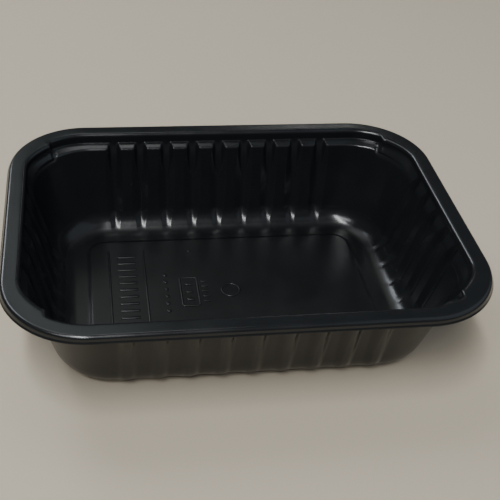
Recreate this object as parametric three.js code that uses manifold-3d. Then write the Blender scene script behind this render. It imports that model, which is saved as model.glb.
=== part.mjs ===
import * as THREE from 'three';
import Module from 'manifold-3d';

// Takeaway food tray, empty: one sheet of black polypropylene drawn down into a mould.
// A flat sealing flange with a turned-down lip, ribbed sides that stop at a ledge under
// the flange, a rounded cove and a raised floor panel. Millimetres, +Z up, long side on X.

// overall
const LENGTH = 187;
const WIDTH = 137;
const HEIGHT = 45;
const FLANGE_CORNER = 32.8;

// flange and lip, measured inward from the outer edge
const FLANGE_LAND = 8;
const OPENING_RADIUS = 1.9;
const LIP_RADIUS = 1.4;
const LIP_DROP = 3.3;
const LIP_CURL = 0.6;

// shoulder under the flange
const LEDGE_LEVEL = 40.7;
const LEDGE_DROP = 1.4;
const BAND_DRAFT = 0.15;
const EDGE_RADIUS = 0.6;
const PAD_DEPTH = 2.1;
const PAD_FULL = 44;
const PAD_END = 48;
const PAD_STEP = 5;
const PAD_ROWS = [
  { share: 0, z: 42.2 },
  { share: 0.48, z: 39.9 },
  { share: 1, z: 36.9 },
];

// side walls: outlines as half length, half width, corner radius
const WALL_TOP = { a: 83.5, b: 56.5, r: 25 };
const WALL_FOOT = { a: 76.5, b: 51.75, r: 23.25 };
const COVE_RADIUS = 10;

// ribs
const RIB_PITCH = 12;
const RIBS_LONG = 9;
const RIBS_SHORT = 5;
const RIB_MOUTH = 3;
const RIB_FLOOR = 1.2;
const RIB_DEPTH = 1.4;
const NOTCH_HALF = 1.9;
const NOTCH_FOOT = 20;
const RAMP_SHARES = [0, 0.16, 0.36];
const RIB_FADE_ANGLE = 30;

// floor
const PANEL = { a: 61, b: 38.3, r: 8 };
const PANEL_RISE = 0.6;
const PANEL_SLOPE = 0.6;

// sheet thickness, thinner where the sheet is drawn furthest
const FLANGE_SHEET = 0.6;
const SHOULDER_SHEET = 0.45;
const WALL_SHEET = 0.4;
const FLOOR_SHEET = 0.5;
const NEARLY_LEVEL = 0.985;
const SAME_PLANE = 0.9995;
const KEEP_SHORT = 0.0005;

// raised marks on the panel: plain bars, pips and frames
const MARK_RISE = 0.35;
const LINE_LENGTH = 62;
const LINE_WIDTH = 0.9;
const LINES_AT = [-52, -36.5];
const RUNG_LENGTH = 8.4;
const RUNG_WIDTH = 1.5;
const RUNG_PITCH = 4.4;
const RUNGS = 13;
const FRAME_SIZE = [8.4, 19];
const RING_RADIUS = 4.4;

const CORNER_STEPS = 11;
const PANEL_TOP = FLOOR_SHEET + PANEL_RISE;
const OUTER = { a: LENGTH / 2, b: WIDTH / 2, r: FLANGE_CORNER };
const RAD = Math.PI / 180;

const kernel = await Module();
kernel.setup();
const { Manifold, CrossSection, Mesh } = kernel;

const lerp = (p, q, t) => p + (q - p) * t;

function smooth(low, high, value) {
  const t = Math.min(1, Math.max(0, (value - low) / (high - low)));
  return t * t * (3 - 2 * t);
}

const inset = (o, d) => ({ a: o.a - d, b: o.b - d, r: o.r - d });

// stations of one quarter of the rim, from the middle of the short side to the long side
function ribStations(count, side) {
  const last = (count - 1) / 2;
  const list = [];
  for (let i = 0; i <= last; i += 1) {
    const centre = i * RIB_PITCH;
    if (i > 0) {
      list.push({ side, centre, sign: -1, mouth: true });
      list.push({ side, centre, sign: -1, mouth: false });
    }
    list.push({ side, centre, sign: 1, mouth: false });
    list.push({ side, centre, sign: 1, mouth: true });
  }
  return list;
}

// degrees round the corner, closer together where the pad ends
function cornerAngles() {
  const angles = [];
  for (let i = 0; i <= CORNER_STEPS; i += 1) angles.push((90 * i) / CORNER_STEPS);
  const clear = angles.filter((v) => v < PAD_END - 3 || v > PAD_END + PAD_STEP + 2);
  clear.push(PAD_END, PAD_END + PAD_STEP);
  return clear.sort((p, q) => p - q);
}

function quarterStations() {
  const corner = cornerAngles().map((angle) => ({ side: 'corner', angle }));
  const long = ribStations(RIBS_LONG, 'long').reverse();
  return [...ribStations(RIBS_SHORT, 'short'), ...corner, ...long];
}

function rimStations() {
  const quarter = quarterStations();
  const all = [];
  for (const [sx, sy] of [[1, 1], [-1, 1], [-1, -1], [1, -1]]) {
    const ordered = sx * sy > 0 ? quarter : [...quarter].reverse();
    for (const s of ordered) all.push({ ...s, sx, sy });
  }
  return all;
}

// how far a rib station lies from the middle of its side
function alongSide(s, mouthHalf) {
  const half = s.mouth ? mouthHalf : RIB_FLOOR;
  return s.centre + s.sign * half;
}

// point of outline o at a station, pushed outward by `out`
function onOutline(s, o, out, z, mouthHalf = RIB_MOUTH) {
  let x = o.a + out;
  let y = o.b + out;
  if (s.side === 'short') y = alongSide(s, mouthHalf);
  if (s.side === 'long') x = alongSide(s, mouthHalf);
  if (s.side === 'corner') {
    x = o.a - o.r + (o.r + out) * Math.cos(s.angle * RAD);
    y = o.b - o.r + (o.r + out) * Math.sin(s.angle * RAD);
  }
  return new THREE.Vector3(s.sx * x, s.sy * y, z);
}

const isRibFloor = (s) => s.side !== 'corner' && !s.mouth;

// the short sides and their corners have a sloping pad, the long sides a ledge
function hasPad(s) {
  if (s.side === 'corner') return s.angle <= PAD_END;
  return s.side === 'short';
}

// how far the pad pushes the rim of the opening inward
function padPush(s) {
  if (s.side !== 'corner' || s.angle > PAD_END) return 0;
  return PAD_DEPTH * smooth(0, PAD_FULL, s.angle);
}

// rim of the opening: flange land, then the rounding into the upright band
function openingPoint(s, back, z) {
  const rim = inset(OUTER, FLANGE_LAND);
  return onOutline(s, rim, back - padPush(s), z, NOTCH_HALF);
}

// how far the upright band leans in at height z
function bandLean(z) {
  const top = HEIGHT - OPENING_RADIUS;
  return (BAND_DRAFT * (top - z)) / (top - LEDGE_LEVEL);
}

// wall surface at height z, without its ribs
function wallOutline(z) {
  const high = LEDGE_LEVEL - LEDGE_DROP - EDGE_RADIUS;
  const low = FLOOR_SHEET + COVE_RADIUS;
  const t = (z - low) / (high - low);
  return {
    a: lerp(WALL_FOOT.a, WALL_TOP.a, t),
    b: lerp(WALL_FOOT.b, WALL_TOP.b, t),
    r: lerp(WALL_FOOT.r, WALL_TOP.r, t),
  };
}

// shoulder between the band and the top of the wall: sloping ledge or steeper pad
function shoulderPoint(s, ledge, pad) {
  const { share, z } = hasPad(s) ? pad : ledge;
  const rim = inset(OUTER, FLANGE_LAND);
  const mouth = share === 0 ? NOTCH_HALF : RIB_MOUTH;
  const top = onOutline(s, rim, -bandLean(z) - padPush(s), z, mouth);
  const wall = onOutline(s, wallOutline(z), 0, z, mouth);
  return top.lerp(wall, share);
}

// wall at height z, with the rib floor standing out by the given depth
function wallPoint(s, z, depth = RIB_DEPTH) {
  const out = isRibFloor(s) ? depth : 0;
  return onOutline(s, wallOutline(z), out, z);
}

// rib floor between the ledge and the wall: a steep ramp from the band down to full depth
function rampPoint(s, share) {
  const rim = inset(OUTER, FLANGE_LAND + BAND_DRAFT);
  const top = onOutline(s, rim, 0, LEDGE_LEVEL);
  const foot = wallPoint(s, NOTCH_FOOT);
  return top.lerp(foot, share);
}

function shoulderRow(ledge, pad, ramp) {
  return (s) => (isRibFloor(s) ? rampPoint(s, ramp) : shoulderPoint(s, ledge, pad));
}

// cove between wall and floor, angle measured from straight down
function coveRow(angle) {
  const back = COVE_RADIUS * (1 - Math.sin(angle * RAD));
  const z = FLOOR_SHEET + COVE_RADIUS * (1 - Math.cos(angle * RAD));
  const depth = RIB_DEPTH * smooth(RIB_FADE_ANGLE, 85, angle);
  return (s) => {
    const out = isRibFloor(s) ? depth : 0;
    return onOutline(s, WALL_FOOT, out - back, z);
  };
}

const flangeRow = (back, z) => (s) => onOutline(s, OUTER, -back, z);
const bend = (radius, angle) => radius * (1 - Math.cos(angle * RAD));

// rows of the upper surface from the lip's lower edge to the floor panel
function surfaceRows() {
  const lipFoot = HEIGHT - LIP_DROP;
  const r = LIP_RADIUS;
  const o = OPENING_RADIUS;
  const ledge = [0, 0.87, 1].map((share) => ({ share, z: LEDGE_LEVEL - LEDGE_DROP * share }));
  ledge[2].z -= EDGE_RADIUS;
  const shoulder = ledge.map((at, k) => shoulderRow(at, PAD_ROWS[k], RAMP_SHARES[k]));
  const panelInner = inset(PANEL, PANEL_SLOPE);
  return [
    { fine: false, sheet: FLANGE_SHEET, at: flangeRow(0, lipFoot) },
    { fine: false, sheet: FLANGE_SHEET, at: flangeRow(LIP_CURL, lipFoot + 0.8) },
    { fine: false, sheet: FLANGE_SHEET, at: flangeRow(LIP_CURL, HEIGHT - r) },
    { fine: false, sheet: FLANGE_SHEET, at: flangeRow(LIP_CURL + bend(r, 45), HEIGHT - bend(r, 45)) },
    { fine: false, sheet: FLANGE_SHEET, at: flangeRow(LIP_CURL + r, HEIGHT) },
    { fine: false, sheet: FLANGE_SHEET, at: (s) => openingPoint(s, o, HEIGHT) },
    { fine: false, sheet: FLANGE_SHEET, at: (s) => openingPoint(s, bend(o, 45), HEIGHT - bend(o, 45)) },
    { fine: true, sheet: SHOULDER_SHEET, at: (s) => openingPoint(s, 0, HEIGHT - o) },
    { fine: true, sheet: SHOULDER_SHEET, at: shoulder[0] },
    { fine: true, sheet: SHOULDER_SHEET, at: shoulder[1] },
    { fine: true, sheet: WALL_SHEET, at: shoulder[2] },
    { fine: true, sheet: WALL_SHEET, at: (s) => wallPoint(s, NOTCH_FOOT) },
    { fine: true, sheet: WALL_SHEET, at: coveRow(90) },
    { fine: true, sheet: WALL_SHEET, at: coveRow(72) },
    { fine: true, sheet: WALL_SHEET, at: coveRow(54) },
    { fine: true, sheet: FLOOR_SHEET, at: coveRow(RIB_FADE_ANGLE) },
    { fine: true, sheet: FLOOR_SHEET, at: coveRow(18) },
    { fine: false, sheet: FLOOR_SHEET, at: coveRow(0) },
    { fine: false, sheet: FLOOR_SHEET, at: (s) => onOutline(s, PANEL, 0, FLOOR_SHEET) },
    { fine: false, sheet: FLOOR_SHEET, at: (s) => onOutline(s, panelInner, 0, PANEL_TOP) },
  ];
}

// vertices of every row; coarse rows keep only the corner stations
function buildLoops(points) {
  const stations = rimStations();
  return surfaceRows().map((row) => {
    const loop = [];
    stations.forEach((s, key) => {
      if (!row.fine && s.side !== 'corner') return;
      loop.push({ key, id: points.length });
      points.push({ p: row.at(s), sheet: row.sheet });
    });
    return loop;
  });
}

// triangles between two closed loops that share station keys
function stitch(outer, inner, faces) {
  let i = 0;
  let j = 0;
  const total = outer.length + inner.length;
  const end = 1e6;
  const keyOf = (loop, k) => (k < loop.length ? loop[k].key : end + loop[k - loop.length].key);
  for (let n = 0; n < total; n += 1) {
    const a = outer[i % outer.length].id;
    const b = inner[j % inner.length].id;
    const outerIsNext = i < outer.length && keyOf(outer, i + 1) <= keyOf(inner, j + 1);
    const stepOuter = j === inner.length || outerIsNext;
    if (stepOuter) {
      faces.push([a, outer[(i + 1) % outer.length].id, b]);
      i += 1;
    } else {
      faces.push([a, inner[(j + 1) % inner.length].id, b]);
      j += 1;
    }
  }
}

function faceNormal(points, [a, b, c]) {
  const u = points[b].p.clone().sub(points[a].p);
  const v = points[c].p.clone().sub(points[a].p);
  return u.cross(v);
}

// the different planes that meet at every vertex
function planesAround(points, faces) {
  const planes = points.map(() => []);
  for (const f of faces) {
    const n = faceNormal(points, f).normalize();
    for (const id of f) {
      const known = planes[id].some((m) => m.dot(n) > SAME_PLANE);
      if (!known) planes[id].push(n);
    }
  }
  return planes;
}

// step from a vertex to the far side of the sheet, the same distance from every plane
function mitre(planes, sheet) {
  const sum = new THREE.Vector3();
  const a = new THREE.Matrix3().identity().multiplyScalar(KEEP_SHORT);
  for (const n of planes) {
    sum.add(n);
    const e = n.toArray();
    for (let k = 0; k < 9; k += 1) a.elements[k] += e[Math.floor(k / 3)] * e[k % 3];
  }
  const mean = sum.clone().normalize();
  const b = sum.addScaledVector(mean, KEEP_SHORT).multiplyScalar(sheet);
  const move = b.applyMatrix3(a.invert());
  if (mean.z > NEARLY_LEVEL) move.z = sheet;
  return move.clampLength(sheet, 1.5 * sheet);
}

function sheetBelow(points, faces) {
  const planes = planesAround(points, faces);
  return points.map((v, id) => v.p.clone().sub(mitre(planes[id], v.sheet)));
}

function fan(loop, centre, faces) {
  for (let k = 0; k < loop.length; k += 1) {
    faces.push([loop[k].id, loop[(k + 1) % loop.length].id, centre]);
  }
}

function sheetBody() {
  const points = [];
  const loops = buildLoops(points);
  const faces = [];
  for (let k = 0; k + 1 < loops.length; k += 1) stitch(loops[k], loops[k + 1], faces);
  points.push({ p: new THREE.Vector3(0, 0, PANEL_TOP), sheet: FLOOR_SHEET });
  fan(loops[loops.length - 1], points.length - 1, faces);
  const under = sheetBelow(points, faces);
  const count = points.length;
  const closed = [...faces, ...faces.map(([a, b, c]) => [a + count, c + count, b + count])];
  const rim = loops[0];
  for (let k = 0; k < rim.length; k += 1) {
    const a = rim[k].id;
    const b = rim[(k + 1) % rim.length].id;
    closed.push([a + count, b + count, b], [a + count, b, a]);
  }
  const position = [...points.map((v) => v.p), ...under].flatMap((p) => p.toArray());
  const vertProperties = new Float32Array(position);
  const triVerts = new Uint32Array(closed.flat());
  return new Manifold(new Mesh({ numProp: 3, vertProperties, triVerts }));
}

const row = (count, pitch, shape) => {
  const first = (-(count - 1) / 2) * pitch;
  return Array.from({ length: count }, (_, i) => shape(first + i * pitch));
};
const bar = (x, y, w, h) => CrossSection.square([w, h], true).translate([x, y]);
const pip = (x, y, r) => CrossSection.circle(r, 8).translate([x, y]);

function frame(x, y, [w, h]) {
  const hole = bar(x, y, w - 2 * LINE_WIDTH, h - 2 * LINE_WIDTH);
  return bar(x, y, w, h).subtract(hole);
}

function ring(x, y, r) {
  const disc = CrossSection.circle(r, 20);
  return disc.subtract(CrossSection.circle(r - LINE_WIDTH, 20)).translate([x, y]);
}

// ladder between two long lines, then a column each of pips, frame, bars and ring
function markShapes() {
  const middle = (LINES_AT[0] + LINES_AT[1]) / 2;
  return CrossSection.union([
    ...LINES_AT.map((x) => bar(x, 0, LINE_WIDTH, LINE_LENGTH)),
    ...row(RUNGS, RUNG_PITCH, (y) => bar(middle, y, RUNG_LENGTH, RUNG_WIDTH)),
    ...row(6, 4.6, (y) => pip(-28, y + 1.5, 1)),
    frame(-18, 1.5, FRAME_SIZE),
    ...row(3, 4.8, (y) => bar(-18, y + 1.5, 3.4, 1.6)),
    ...row(5, 3.2, (y) => bar(-11, y + 1.5, 3.2, 1.1)),
    ring(0, 1.5, RING_RADIUS),
    pip(-15.5, 29.5, 0.9),
  ]);
}

function trayGeometry() {
  const root = 0.2;
  const marks = Manifold.extrude(markShapes(), MARK_RISE + root);
  const body = sheetBody().add(marks.translate([0, 0, PANEL_TOP - root]));
  const mesh = body.getMesh();
  const geometry = new THREE.BufferGeometry();
  const position = Float32Array.from(mesh.vertProperties);
  geometry.setAttribute('position', new THREE.BufferAttribute(position, 3));
  geometry.setIndex(new THREE.BufferAttribute(mesh.triVerts, 1));
  geometry.computeVertexNormals();
  return geometry;
}

const blackPlastic = new THREE.MeshStandardMaterial({
  color: 0x17191b,
  roughness: 0.32,
  metalness: 0,
});

const group = new THREE.Group();
const tray = new THREE.Mesh(trayGeometry(), blackPlastic);
tray.name = 'tray';
group.add(tray);

export default group;
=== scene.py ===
import math

import bpy
import numpy as np
from mathutils import Matrix, Vector


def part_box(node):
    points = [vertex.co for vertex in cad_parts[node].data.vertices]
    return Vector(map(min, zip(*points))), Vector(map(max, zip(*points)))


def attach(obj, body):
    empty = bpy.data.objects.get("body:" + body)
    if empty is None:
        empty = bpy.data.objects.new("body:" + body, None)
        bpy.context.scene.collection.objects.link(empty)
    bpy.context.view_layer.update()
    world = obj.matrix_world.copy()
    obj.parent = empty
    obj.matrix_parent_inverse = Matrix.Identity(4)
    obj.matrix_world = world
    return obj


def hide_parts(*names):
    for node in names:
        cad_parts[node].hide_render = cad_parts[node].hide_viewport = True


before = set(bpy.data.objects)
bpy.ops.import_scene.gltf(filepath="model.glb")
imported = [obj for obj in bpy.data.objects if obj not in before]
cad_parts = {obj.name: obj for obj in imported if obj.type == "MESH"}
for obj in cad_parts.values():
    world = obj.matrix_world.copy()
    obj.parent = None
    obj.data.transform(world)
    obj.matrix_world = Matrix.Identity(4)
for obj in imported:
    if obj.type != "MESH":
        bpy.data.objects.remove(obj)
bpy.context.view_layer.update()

# ---------------------------------------------------------------- the drawn sheet
# A takeaway food tray drawn in one piece from a sheet of black polypropylene. The
# sheet is heated, pulled down into a mould and trimmed round the lip, so the same
# thin wall runs from the lip over the flange, down the ribbed sides and across the floor.

MM = 0.001

# half the solid's length, half its width and its height, to a tenth of a millimetre
HALF_LENGTH, HALF_WIDTH, HEIGHT = np.round(np.array(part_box("tray")[1]) / MM, 1)

# marks along one quarter of the rim; the steps across a rib are 0 its middle, 1 the
# edge of its floor, 2 the edge of its mouth, 2.2 just outside it and 3 halfway on
RIB_PITCH = 12.0
RIBS = {"short": 5, "long": 9}
RIB_STEPS = np.array([0.0, 0.6, 1.0, 1.25, 1.45, 1.65, 1.85, 2.0, 2.2])
BESIDE_RIB = RIB_STEPS[-1]
CORNER_MARKS = np.unique(np.concatenate([np.linspace(0, 90, 31), np.arange(43.5, 58.5, 0.75)]))
SHORT_SIDE, CORNER, LONG_SIDE = 0, 1, 2


def side_marks(ribs):
    """Marks from the middle of a side to the far edge of its last rib, in order, as two
    columns: the rib's distance from the middle, and the step across it, which is
    below zero before the rib's own middle."""
    steps = np.concatenate([-RIB_STEPS[:0:-1], RIB_STEPS, [3.0]])
    centres = np.arange((ribs + 1) // 2) * RIB_PITCH
    centre, step = [grid.ravel() for grid in np.meshgrid(centres, steps, indexing="ij")]
    inside = (centre > 0) | (step >= 0)
    return centre[inside][:-1], step[inside][:-1]


def quarter_rim():
    """One quarter of the rim as four columns: which part it is on, the mark on it (rib
    distance or degrees), the step across the rib, and the share of the way from the
    last rib to the corner's start."""
    short, short_step = side_marks(RIBS["short"])
    long, long_step = side_marks(RIBS["long"])
    lead = np.array([0.25, 0.5, 0.75])
    plain, turns = len(lead), len(CORNER_MARKS)
    part = np.repeat([SHORT_SIDE, CORNER, LONG_SIDE], [len(short) + plain, turns, len(long) + plain])
    mark = np.concatenate([short, np.full(plain, short[-1]), CORNER_MARKS,
                           np.full(plain, long[-1]), long[::-1]])
    step = np.concatenate([short_step, np.full(plain, BESIDE_RIB), np.zeros(turns),
                           np.full(plain, BESIDE_RIB), long_step[::-1]])
    share = np.concatenate([0 * short, lead, np.zeros(turns), lead[::-1], 0 * long])
    return part, mark, step, share


def whole_rim():
    """The quarter's marks mirrored to all four quarters, in one turn counterclockwise,
    with the signs of x and y, and no mark twice."""
    columns = quarter_rim()
    turn = np.arange(len(columns[0]))
    order = np.concatenate([turn[:-1], turn[::-1][:-1], turn[:-1], turn[::-1][:-1]])
    quarter = np.repeat(np.arange(4), len(turn) - 1)
    sign_x = np.array([1, -1, -1, 1])[quarter]
    sign_y = np.array([1, 1, -1, -1])[quarter]
    return [column[order] for column in columns] + [sign_x, sign_y]


PART, MARK, STEP, SHARE, SIGN_X, SIGN_Y = whole_rim()
ANGLE = np.radians(np.where(PART == CORNER, MARK, np.where(PART == SHORT_SIDE, 0, 90)))
OUTWARD = np.stack([SIGN_X * np.cos(ANGLE), SIGN_Y * np.sin(ANGLE)], axis=-1)


def smooth(low, high, value):
    """0 below low, 1 above high, and three t squared less two t cubed between them."""
    t = np.clip((value - low) / (high - low), 0, 1)
    return t * t * (3 - 2 * t)


def rounded_rectangle(a, b, r, out, along):
    """Points at every rim mark on rounded rectangles with half length a, half width b
    and corner radius r, each pushed outward by out: a straight on the two sides, at
    the distance along from its middle, and an arc about (a - r, b - r) in the corner.
    All are arrays of rows by marks."""
    x = np.where(PART == SHORT_SIDE, a + out, along + SHARE * (a - r - along))
    y = np.where(PART == LONG_SIDE, b + out, along + SHARE * (b - r - along))
    corner = PART == CORNER
    x = np.where(corner, a - r + (r + out) * np.cos(ANGLE), x)
    y = np.where(corner, b - r + (r + out) * np.sin(ANGLE), y)
    return np.stack([SIGN_X * x, SIGN_Y * y], axis=-1)


def eased(points, cuts, on_arc, on_line):
    """A line through the points with each corner eased: the two cuts are taken off the
    lines before and after it and a conic joins their ends, its weight the cosine of
    half the turn, so equal cuts give a circle. Points are (a, b, r, z); on_arc and
    on_line say how many rows each conic and each line takes."""
    points = np.array(points, float)
    leg = np.diff(points, axis=0)
    length = np.hypot(leg[:, 1], leg[:, 3])
    rows = []
    start = points[0]
    for k in range(1, len(points)):
        last = k == len(points) - 1
        before, after = (0, 0) if last else cuts[k - 1]
        end = points[k] - leg[k - 1] * before / length[k - 1]
        t = np.linspace(0, 1, on_line[k - 1], endpoint=False)[:, None]
        rows.append(start + (end - start) * t)
        start = end
        if before:
            far = points[k] + leg[k] * after / length[k]
            ways = leg[[k - 1, k]][:, [1, 3]] / length[[k - 1, k], None]
            weight = math.cos(math.acos(np.clip(ways[0] @ ways[1], -1, 1)) / 2)
            t = np.linspace(0, 1, on_arc[k - 1], endpoint=False)[:, None]
            mix = [(1 - t) ** 2, 2 * t * (1 - t) * weight, t ** 2]
            rows.append((mix[0] * end + mix[1] * points[k] + mix[2] * far) / sum(mix))
            start = far
    rows.append(points[-1:])
    return np.concatenate(rows)


def drawn_in(outline, depth, z):
    """The outline drawn in by depth all round, or let out where depth is below zero, at
    height z, as (half length, half width, corner radius, height)."""
    return tuple(size - depth for size in outline[:3]) + (z,)


# the sheet's upper face from the lip's foot to the floor panel
FLANGE_CORNER = 32.8
OUTLINE = (HALF_LENGTH, HALF_WIDTH, FLANGE_CORNER)
LIP_FOOT = drawn_in(OUTLINE, 0.0, HEIGHT - 2.7)
LIP_NECK = drawn_in(OUTLINE, 0.5, HEIGHT - 2.0)
LIP_TOP = drawn_in(OUTLINE, 0.9, HEIGHT)
RIM = drawn_in(OUTLINE, 8.0, HEIGHT)
BAND_FOOT = drawn_in(OUTLINE, 8.15, 40.7)
LEDGE_EDGE = (83.4, 56.5, 25.0, 39.5)
PAD_TOP = drawn_in(OUTLINE, 8.1, 42.2)
PAD_FOOT_LEVEL = 37.8
NOTCH_LEVEL = 16.0
FLOOR_SHEET = 0.5
COVE_CORNER = (74.17, 50.17, 22.67, FLOOR_SHEET)
RING_START = (66.36, 41.6, 13.1, FLOOR_SHEET)
FLOOR_TOP = 1.1
PANEL_FOOT = (61.7, 39.0, 8.7, FLOOR_SHEET)
PANEL_EDGE = drawn_in(PANEL_FOOT, 1.7, FLOOR_TOP)
PANEL_INNER = drawn_in(PANEL_FOOT, 5.7, FLOOR_TOP)

# the cove's radius and what it takes off the lines that meet in its corner, and the
# rows on each eased corner and on each line between them
COVE_RADIUS = 10.0
COVE_CUT = 8.42
ON_ARC = (3, 7, 8, 5, 11, 1, 18, 1, 4, 4)
ON_LINE = (2, 2, 3, 3, 4, 8, 6, 1, 2, 1, 2)


def on_wall(z):
    """The point at height z on the straight line from the ledge's edge to the cove's corner."""
    top, foot = np.array(LEDGE_EDGE), np.array(COVE_CORNER)
    return tuple(top + (foot - top) * (top[3] - z) / (top[3] - foot[3]))


def upper_profile(band_foot, ledge_edge, band_cut, edge_cut):
    """The sheet's upper face from the lip's foot to the floor panel, corners eased: the
    cuts are what each corner takes off the lines before and after it."""
    points = [LIP_FOOT, LIP_NECK, LIP_TOP, RIM, band_foot, ledge_edge, on_wall(NOTCH_LEVEL),
              COVE_CORNER, RING_START, PANEL_FOOT, PANEL_EDGE, PANEL_INNER]
    cuts = [(0.3, 0.3), (1.3, 1.3), (1.6, 1.6), band_cut, edge_cut, (0.1, 0.1),
            (COVE_CUT, COVE_CUT), (0.05, 0.05), (0.4, 0.4), (0.4, 0.4)]
    return eased(points, cuts, ON_ARC, ON_LINE)


# the long sides' ledge, which falls gently inward, and the steeper pad of the short
# sides and corners
LEDGE = upper_profile(BAND_FOOT, LEDGE_EDGE, (0.25, 0.25), (0.8, 0.8))
PAD = upper_profile(PAD_TOP, on_wall(PAD_FOOT_LEVEL), (0.5, 1.0), (1.4, 1.4))

# the rows at which the rim's rounding, the band's foot, the ledge's edge, the wall, the
# notch's foot, the cove and the ring begin, and how many rows there are
RIM_ROW = sum(ON_LINE[:3]) + sum(ON_ARC[:2])
BAND_ROW = RIM_ROW + ON_ARC[2] + ON_LINE[3]
EDGE_ROW = BAND_ROW + ON_ARC[3] + ON_LINE[4]
WALL_ROW = EDGE_ROW + ON_ARC[4]
NOTCH_ROW = WALL_ROW + ON_LINE[5]
COVE_ROW = NOTCH_ROW + ON_ARC[5] + ON_LINE[6]
RING_ROW = COVE_ROW + ON_ARC[6]
ROWS = len(LEDGE)

# the floor of a rib: a steep ramp down from the band, easing at its knee, then the wall
# stood out by the rib's depth, of which a share is left as the cove turns level
RIB_DEPTH = 1.4
RAMP = (
    LEDGE[BAND_ROW],
    drawn_in(OUTLINE, 8.3, 39.8),
    drawn_in(on_wall(34.5), -2.3, 34.5),
    drawn_in(on_wall(NOTCH_LEVEL + 4), -RIB_DEPTH, NOTCH_LEVEL + 4),
    drawn_in(on_wall(NOTCH_LEVEL - 4), -RIB_DEPTH, NOTCH_LEVEL - 4),
)
RAMP_CUTS = ((0.5, 1.0), (2.5, 3.0), (4.0, 4.0))
FADE_SLOPES = (15, 25, 35, 45, 55, 65, 75)
FADE_SHARES = (0, 0.1, 0.2, 0.3, 0.42, 0.65, 1)


def rib_profile():
    """The ledge profile with its rows between the band and the notch's foot spread
    evenly along the ramp instead, and the rows below stood out by the rib's depth,
    which fades out down the cove as its slope falls from 75 to 15 degrees. The cosine
    of that slope is 1 less the height over the cove's foot by its radius."""
    rows = LEDGE.copy()
    ramp = eased(RAMP, RAMP_CUTS, (20, 30, 30), (20, 20, 20, 20))
    way = np.linalg.norm(np.diff(ramp[:, [1, 3]], axis=0), axis=1)
    way = np.concatenate([[0], np.cumsum(way)])
    stop = way[np.argmin(abs(ramp[:, 3] - NOTCH_LEVEL))]
    stops = np.linspace(0, stop, NOTCH_ROW - BAND_ROW + 1)
    rows[BAND_ROW:NOTCH_ROW + 1] = np.stack([np.interp(stops, way, size) for size in ramp.T], axis=-1)
    below = rows[NOTCH_ROW + 1:]
    slope = np.degrees(np.arccos(np.clip(1 - (below[:, 3] - FLOOR_SHEET) / COVE_RADIUS, 0, 1)))
    below[:, :3] += RIB_DEPTH * np.interp(slope, FADE_SLOPES, FADE_SHARES)[:, None]
    return rows


RIB = rib_profile()

# half widths of a rib's floor and mouth at the band, at the ledge's edge, just over the
# notch's foot, where the cove begins and near its middle, on the upper face and on the
# under face
RIB_ROWS = (BAND_ROW, EDGE_ROW, NOTCH_ROW - 4, COVE_ROW, COVE_ROW + 8)
UPPER_WIDTHS = ((0.3, 1.3, 1.1, 0.9, 0.6), (1.3, 2.9, 3.8, 3.4, 2.0))
UNDER_WIDTHS = ((0.2, 0.4, 0.9, 0.9, 0.9), (5.2, 5.6, 4.4, 4.0, 3.0))

# how round the bottom of the vee is, as a share of its half width
VEE_ROUND = 0.35

# where round the corner the pad gives way to the ledge, in degrees, at the band and how
# much further on lower down, and half the width of the step between them
PAD_END = 50.4
PAD_END_LOWER = 2.6
PAD_STEP = 3.2

# how far the wall is pushed in round the corner, over which degrees the push grows and
# ends, and the small knot where the pad ends
SWELL = 2.1
SWELL_GROWS = (0, 44)
SWELL_ENDS = (46.4, 54.4)
KNOT = 0.3
KNOT_AT = 46.8
KNOT_WIDTH = 1.6


def corner_push(level):
    """How far the sheet is pushed in round the corner: a swell that grows over its first
    half and ends with the pad, and a knot, a bell of the distance from its place. It
    comes in over the rim and fades out under the band."""
    swell = SWELL * smooth(*SWELL_GROWS, MARK) * (1 - smooth(*SWELL_ENDS, MARK))
    knot = KNOT * np.exp(-((MARK - KNOT_AT) / KNOT_WIDTH) ** 2)
    push = np.where(PART == CORNER, swell + knot, 0.0)[None]
    push = push * smooth(RIM_ROW - 1, RIM_ROW + 3, level)
    return push * (1 - smooth(BAND_ROW + 1, EDGE_ROW + 4, level))


def across_rib(level, widths):
    """The distance from a rib's middle at every row and rim mark, the half width of its
    mouth at every row, and the step across it at every mark."""
    floor_half, mouth_half = [np.interp(level, RIB_ROWS, width) for width in widths]
    size = abs(STEP)[None]
    across = np.where(size < 1, floor_half * size, floor_half + (mouth_half - floor_half) * (size - 1))
    across = np.where(size > 2, mouth_half + 2 * (size - 2), across)
    return np.where(size > 2.5, RIB_PITCH / 2, across), mouth_half, size


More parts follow.
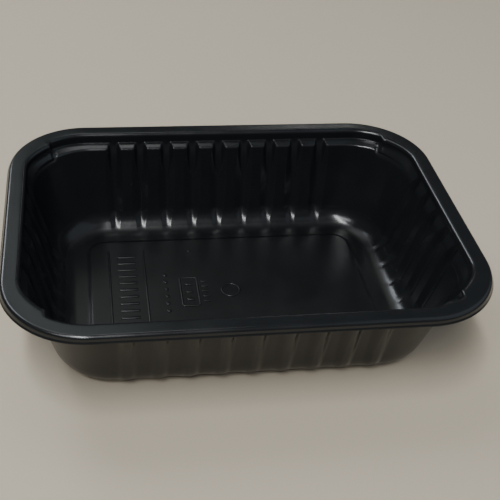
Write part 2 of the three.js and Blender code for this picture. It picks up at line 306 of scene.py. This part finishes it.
def upper_face(widths, widen=0.0, vee=1.0):
    """The upper face at every row and rim mark. The ledge and pad profiles are mixed
    round the corner, and the rib profile is mixed in across each rib: a steep-sided
    notch through the ledge, between the half widths of its floor and its mouth, and
    lower down, by the share vee, a rounded vee, a hyperbola across the mouth. The step
    at the pad's end takes widen more degrees on both its sides."""
    level = np.arange(ROWS)[:, None]
    turn = PAD_END + PAD_END_LOWER * smooth(BAND_ROW - 4, EDGE_ROW - 1, level)
    in_corner = 1 - smooth(turn - PAD_STEP - widen, turn + PAD_STEP + widen, MARK[None])
    pad = np.where(PART == SHORT_SIDE, 1.0, np.where(PART == CORNER, in_corner, 0.0))[..., None]
    across, mouth_half, size = across_rib(level, widths)
    rest = math.hypot(1, VEE_ROUND)
    scoop = rest - np.hypot(np.minimum(across / mouth_half, 1), VEE_ROUND)
    scoop = scoop / (rest - VEE_ROUND)
    notch = 1 - smooth(1, 2, size)
    rib = notch + vee * (scoop - notch) * smooth(EDGE_ROW - 1, WALL_ROW, level)
    rib = np.where((PART != CORNER) & (SHARE == 0) & (level >= BAND_ROW), rib, 0.0)[..., None]
    shape = LEDGE[:, None] * (1 - pad) + PAD[:, None] * pad
    shape = shape * (1 - rib) + RIB[:, None] * rib
    a, b, r, z = np.moveaxis(shape, -1, 0)
    flat = rounded_rectangle(a, b, r, -corner_push(level), MARK + np.sign(STEP) * across)
    return np.concatenate([flat, z[..., None]], axis=-1)


TINY = 1e-9


def under_face(upper, thickness):
    """The sheet's lower face: each row's points moved square to the profile by the
    thickness of the sheet there. The profile's slope is the change of height and of
    distance outward from row to row."""
    outward = (upper[..., :2] * OUTWARD).sum(-1)
    run, rise = np.gradient(outward, axis=0), np.gradient(upper[..., 2], axis=0)
    size = np.maximum(np.hypot(run, rise), TINY)
    side, up = rise / size, -run / size
    moved = upper.copy()
    moved[..., :2] -= (thickness[:, None] * side)[..., None] * OUTWARD
    moved[..., 2] -= thickness[:, None] * up
    return moved


def shell(upper, lower):
    """Vertices in metres and faces of the closed sheet: quads between neighbouring rows
    of both faces, one strip of quads for the trimmed edge, and one flat face in the
    middle of each side."""
    rows, count = upper.shape[:2]
    low_rows = lower.shape[0]
    near = np.arange(count)
    far = (near + 1) % count

    def strip(first, second):
        return np.stack([first + near, first + far, second + far, second + near], axis=-1)

    top = [strip(k * count, (k + 1) * count) for k in range(rows - 1)]
    base = rows * count
    bottom = [strip(base + k * count, base + (k + 1) * count)[:, ::-1] for k in range(low_rows - 1)]
    edge = [strip(base, 0)]
    quads = np.concatenate(top + bottom + edge)
    caps = [list((rows - 1) * count + near), list((base + (low_rows - 1) * count + near)[::-1])]
    verts = np.concatenate([upper.reshape(-1, 3), lower.reshape(-1, 3)]) * MM
    return verts, quads, caps


def make_piece(name, verts, quads, caps, material):
    """A smooth-shaded mesh object at the origin from vertices in metres."""
    mesh = bpy.data.meshes.new(name)
    mesh.from_pydata(verts.tolist(), [], quads.tolist() + caps)
    mesh.polygons.foreach_set("use_smooth", np.ones(len(mesh.polygons), bool))
    mesh.materials.append(material)
    mesh.validate()
    mesh.update()
    piece = bpy.data.objects.new(name, mesh)
    bpy.context.scene.collection.objects.link(piece)
    return piece


def linear(hex_colour):
    """An sRGB hex colour as linear RGB with alpha 1."""
    parts = [int(hex_colour[k:k + 2], 16) / 255 for k in (1, 3, 5)]
    return [c / 12.92 if c <= 0.04045 else ((c + 0.055) / 1.055) ** 2.4 for c in parts] + [1.0]


def node(tree, kind, links=None, **settings):
    """Adds a node, sets its properties or input values by name, and links its inputs."""
    made = tree.nodes.new(kind)
    for key, value in settings.items():
        if hasattr(made, key):
            setattr(made, key, value)
        else:
            made.inputs[key.replace("_", " ")].default_value = value
    for key, source in (links or {}).items():
        tree.links.new(source, made.inputs[key])
    return made


def black_polypropylene():
    """Carbon-black polypropylene, thermoformed: deep black with a satin-gloss skin that
    varies a little, waves gently and has a very fine grain. On the floor it is a
    little duller, and its colour is made a deeper black there as painted shade."""
    material = bpy.data.materials.new("black_polypropylene")
    material.use_nodes = True
    tree = material.node_tree
    tree.nodes.clear()
    place = node(tree, "ShaderNodeTexCoord").outputs["Object"]
    height = node(tree, "ShaderNodeSeparateXYZ", {"Vector": place}).outputs["Z"]

    haze = node(tree, "ShaderNodeTexNoise", {"Vector": place}, Scale=70.0, Detail=4.0, Roughness=0.6)
    haze = haze.outputs["Fac"]
    gloss = node(tree, "ShaderNodeMapRange", {"Value": haze},
                 From_Min=0.3, From_Max=0.7, To_Min=0.18, To_Max=0.26)
    duller = node(tree, "ShaderNodeMapRange", {"Value": height},
                  From_Min=0.0016, From_Max=0.0024, To_Min=0.1, To_Max=0.0)
    rough = node(tree, "ShaderNodeMath", {0: gloss.outputs["Result"], 1: duller.outputs["Result"]},
                 operation="ADD")

    wave = node(tree, "ShaderNodeTexNoise", {"Vector": place}, Scale=55.0, Detail=1.0)
    sag = node(tree, "ShaderNodeBump", {"Height": wave.outputs["Fac"]}, Strength=1.0, Distance=0.0001)
    skin = node(tree, "ShaderNodeTexNoise", {"Vector": place}, Scale=1500.0, Detail=2.0)
    bump = node(tree, "ShaderNodeBump", {"Height": skin.outputs["Fac"], "Normal": sag.outputs["Normal"]},
                Strength=0.06, Distance=0.0002)

    tint = node(tree, "ShaderNodeMix", {"Factor": haze}, data_type="RGBA",
                A=linear("#17191b"), B=linear("#1b1d1f"))
    # painted shade: the base colour turns a deeper black below 4.5 mm up, fully so on the floor, so the
    # floor inside the walls reads darker
    painted_floor_shade = node(tree, "ShaderNodeMapRange", {"Value": height},
                  From_Min=0.0013, From_Max=0.0045, To_Min=1.0, To_Max=0.0)
    colour = node(tree, "ShaderNodeMix", {"Factor": painted_floor_shade.outputs["Result"], "A": tint.outputs["Result"]},
                  data_type="RGBA", B=linear("#0f1011"))

    surface = node(tree, "ShaderNodeBsdfPrincipled",
                   {"Base Color": colour.outputs["Result"],
                    "Roughness": rough.outputs["Value"],
                    "Normal": bump.outputs["Normal"]},
                   IOR=1.49)
    node(tree, "ShaderNodeOutputMaterial", {"Surface": surface.outputs["BSDF"]})
    return material


POLYPROPYLENE = black_polypropylene()

# the sheet's thickness down the profile, and the rows kept on its under face, which
# shows less and needs fewer: every second one down to the notch's foot, then every third
SHEET_ROWS = (0, BAND_ROW, NOTCH_ROW, RING_ROW, RING_ROW + 6, ROWS)
SHEET = np.interp(np.arange(ROWS), SHEET_ROWS, (0.6, 0.5, 0.4, 0.42, FLOOR_SHEET, FLOOR_SHEET))
KEPT = np.concatenate([np.arange(0, NOTCH_ROW, 2), np.arange(NOTCH_ROW, ROWS - 1, 3), [ROWS - 1]])

UPPER = upper_face(UPPER_WIDTHS)
LOWER = under_face(upper_face(UNDER_WIDTHS, widen=0.35, vee=0.0), SHEET)[KEPT]
tray = make_piece("tray_sheet", *shell(UPPER, LOWER), POLYPROPYLENE)
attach(tray, "root")
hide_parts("tray")

# ---------------------------------------------------------------- the floor's raised marks
# Low plain marks that the mould presses up in the floor of the same sheet: two long
# lines with rungs between them, then a column of pips, three bars in a frame, a column
# of short bars and a ring, with one lone pip.

# how far in from its outline, and how high over the floor, a mark is on its way up
MARK_IN = np.array([0.0, 0.0, 0.05, 0.14, 0.28])
MARK_UP = np.array([-0.2, 0.02, 0.2, 0.31, 0.35])

# the radius of a mark's corners, as a share of half its shorter side
CORNER_SHARE = 0.95

LINE_WIDTH = 0.9
LINE_LENGTH = 62.0
MIDDLE_Y = 1.5
FRAME_X = -18.0

# each column of marks as (x, middle y, how many, pitch, width, length): the two long
# lines, the rungs, the pips, the bars in the frame, the short bars and the lone pip
COLUMNS = (
    (-52.0, 0.0, 1, 0.0, LINE_WIDTH, LINE_LENGTH),
    (-36.5, 0.0, 1, 0.0, LINE_WIDTH, LINE_LENGTH),
    (-44.25, 0.0, 13, 4.4, 8.4, 1.5),
    (-28.0, MIDDLE_Y, 6, 4.6, 2.0, 2.0),
    (FRAME_X, MIDDLE_Y, 3, 4.8, 3.4, 1.6),
    (-11.0, MIDDLE_Y, 5, 3.2, 3.2, 1.1),
    (-15.5, 29.5, 1, 0.0, 1.8, 1.8),
)

# the frame and the ring as (x, y, width, length, corner radius)
LOOPS = (
    (FRAME_X, MIDDLE_Y, 7.5, 18.1, 0.9),
    (0.0, MIDDLE_Y, 7.9, 7.9, 3.949),
)


def column(x, y, count, pitch, width, length):
    """Evenly spaced marks down a column about (x, y), as (x, y, width, length)."""
    at = y + (np.arange(count) - (count - 1) / 2) * pitch
    return np.stack([np.full(count, x), at, np.full(count, width), np.full(count, length)], axis=-1)


def round_corners(points):
    """Directions in one turn round the four corners of a rectangle, that many for each
    corner, as unit vectors, and the signs of x and y of the corner each belongs to."""
    turn = np.radians(np.arange(0, 360, 90)[:, None] + np.linspace(0, 90, points)).ravel()
    side = np.repeat([[1, 1], [-1, 1], [-1, -1], [1, -1]], points, axis=0)
    return np.stack([np.cos(turn), np.sin(turn)], axis=-1), side


def pillows(marks):
    """Closed low islands, one to each mark: a rounded rectangle that draws in as it
    rises, as (marks, levels, points) of (x, y, z), with the quads and the end faces."""
    arc, side = round_corners(6)
    half = marks[:, 2:] / 2
    radius = CORNER_SHARE * half.min(axis=1)
    reach = (half - radius[:, None])[:, None, None] * side
    flat = marks[:, None, None, :2] + reach + (radius[:, None] - MARK_IN)[..., None, None] * arc
    height = np.broadcast_to((FLOOR_TOP + MARK_UP)[None, :, None, None], flat.shape[:3] + (1,))
    verts = np.concatenate([flat, height], axis=-1)
    islands, levels, count = verts.shape[:3]
    near = np.arange(count)
    far = (near + 1) % count
    level = np.arange(levels - 1)[:, None] * count
    one = np.stack([level + near, level + far, level + count + far, level + count + near], axis=-1)
    start = np.arange(islands)[:, None] * levels * count
    quads = (one.reshape(1, -1, 4) + start[..., None]).reshape(-1, 4)
    ends = np.concatenate([start + near[::-1], start + (levels - 1) * count + near])
    return verts.reshape(-1, 3), quads, ends.tolist()


def loop_bead(x, y, width, length, radius):
    """A closed low bead, round on top, along a rounded rectangle about (x, y)."""
    arc, side = round_corners(13)
    path = np.array([x, y]) + side * (np.array([width, length]) / 2 - radius) + radius * arc
    inset = np.concatenate([MARK_IN, LINE_WIDTH - MARK_IN[::-1]]) - LINE_WIDTH / 2
    height = FLOOR_TOP + np.concatenate([MARK_UP, MARK_UP[::-1]])
    flat = path[None] - inset[:, None, None] * arc
    verts = np.concatenate([flat, np.broadcast_to(height[:, None, None], flat.shape[:2] + (1,))], axis=-1)
    rows, count = verts.shape[:2]
    row, near = np.meshgrid(np.arange(rows), np.arange(count), indexing="ij")
    next_row, far = (row + 1) % rows, (near + 1) % count
    corners = [row * count + near, row * count + far, next_row * count + far, next_row * count + near]
    return verts.reshape(-1, 3), np.stack(corners, axis=-1).reshape(-1, 4), []


def joined(parts):
    """Several (vertices, quads, faces) as one, the vertices in metres."""
    starts = np.cumsum([0] + [len(verts) for verts, quads, faces in parts])
    quads = np.concatenate([part[1] + start for part, start in zip(parts, starts)])
    faces = [[k + int(start) for k in face] for part, start in zip(parts, starts) for face in part[2]]
    return np.concatenate([part[0] for part in parts]) * MM, quads, faces


islands = pillows(np.concatenate([column(*row) for row in COLUMNS]))
beads = [loop_bead(*loop) for loop in LOOPS]
marks = make_piece("floor_marks", *joined([islands] + beads), POLYPROPYLENE)
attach(marks, "root")
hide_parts("tray")

# ---------------------------------------------------------------- studio
# A plain pale table under the tray, soft lights over it, and the camera.

TABLE_HALF = 6.0
TABLE_COLOUR = "#c3b7a3"
TABLE_ROUGHNESS = 0.8


def pale_table():
    """A flat square under the tray, plain and pale."""
    mesh = bpy.data.meshes.new("floor")
    corners = np.array([[-1, -1, 0], [1, -1, 0], [1, 1, 0], [-1, 1, 0]]) * TABLE_HALF
    mesh.from_pydata(corners.tolist(), [], [[0, 1, 2, 3]])
    material = bpy.data.materials.new("pale_paper")
    material.use_nodes = True
    surface = material.node_tree.nodes["Principled BSDF"]
    surface.inputs["Base Color"].default_value = linear(TABLE_COLOUR)
    surface.inputs["Roughness"].default_value = TABLE_ROUGHNESS
    mesh.materials.append(material)
    table = bpy.data.objects.new("floor", mesh)
    bpy.context.scene.collection.objects.link(table)
    return table


pale_table()


def soft_light(name, place, aim, size, radiance, colour):
    """A rectangular area light at place, facing aim, in metres. Its power is pi times
    its radiance times its area."""
    width, height = size
    data = bpy.data.lights.new(name, "AREA")
    data.shape = "RECTANGLE"
    data.size, data.size_y = width, height
    data.energy = radiance * math.pi * width * height
    data.color = linear(colour)[:3]
    light = bpy.data.objects.new(name, data)
    light.location = place
    light.rotation_mode = "QUATERNION"
    light.rotation_quaternion = (Vector(aim) - Vector(place)).to_track_quat("-Z", "Y")
    bpy.context.scene.collection.objects.link(light)


def softbox(name, azimuth, elevation, distance, half_angles, radiance, colour):
    """A soft light that faces the origin from an azimuth clockwise from +Y and an
    elevation, and is seen from there with that half width and half height in degrees."""
    a, e = math.radians(azimuth), math.radians(elevation)
    way = Vector((math.sin(a) * math.cos(e), math.cos(a) * math.cos(e), math.sin(e)))
    size = [2 * distance * math.tan(math.radians(half)) for half in half_angles]
    soft_light(name, way * distance, (0, 0, 0), size, radiance, colour)


# a long narrow key over the tray's front left, which draws the bright spots in the cove
KEY_PLACE = (-0.3, -0.83, 1.5)
KEY_AIM = (-0.3, -0.83, 0.0)
soft_light("key", KEY_PLACE, KEY_AIM, (0.14, 1.35), 44, "#f7f9fa")

# name, azimuth, elevation, distance, half angles, radiance, colour
SOFTBOXES = (
    ("key_side", -138, 54, 1.6, (9, 5), 9, "#f7f9fa"),
    ("fill", -45, 48, 1.5, (8, 8), 5, "#eef4ff"),
    ("window", -30, 33, 1.5, (6, 9), 7, "#f2f6ff"),
    ("glow", -31, 46, 1.6, (20, 18), 0.5, "#e6efe8"),
    ("ceiling", -18, 66, 1.7, (14, 5), 3.0, "#f2f5f4"),
    ("front", 176, 24, 1.7, (34, 10), 0.08, "#f4efe6"),
    ("lamp", 17, 30, 1.7, (4, 2), 2.8, "#f4f4f0"),
    ("pale_sky", -5, 45, 1.7, (6, 7), 0.5, "#e6efe8"),
    ("side", 96, 46, 1.7, (34, 26), 0.5, "#dae4f4"),
)
for softbox_row in SOFTBOXES:
    softbox(*softbox_row)

world = bpy.data.worlds.new("studio")
world.use_nodes = True
background = world.node_tree.nodes["Background"]
background.inputs["Color"].default_value = linear("#aeb0b0")
background.inputs["Strength"].default_value = 0.1
bpy.context.scene.world = world

SENSOR_WIDTH = 36.0


def aim_camera(azimuth, elevation, roll, distance, target, focal, shift):
    """A camera at the given distance from a point on the table, turned about the
    vertical by azimuth, raised by elevation and rolled about its own axis."""
    a, e, r = map(math.radians, (azimuth, elevation, roll))
    back = Vector((math.sin(a) * math.cos(e), -math.cos(a) * math.cos(e), math.sin(e)))
    right = Vector((math.cos(a), math.sin(a), 0))
    up = back.cross(right)
    side = right * math.cos(r) + up * math.sin(r)
    top = up * math.cos(r) - right * math.sin(r)
    data = bpy.data.cameras.new("camera")
    data.sensor_width, data.lens, data.shift_x = SENSOR_WIDTH, focal, shift
    data.clip_start, data.clip_end = 0.01, 20
    camera = bpy.data.objects.new("camera", data)
    turn = Matrix((side, top, back)).transposed()
    camera.matrix_world = Matrix.Translation(Vector(target) + back * distance) @ turn.to_4x4()
    bpy.context.scene.collection.objects.link(camera)
    return camera


bpy.context.scene.camera = aim_camera(azimuth=-10.87, elevation=39.0, roll=4.69, distance=0.40368,
                                      target=(0.00024, 0.03035, 0), focal=62.58, shift=0.056)
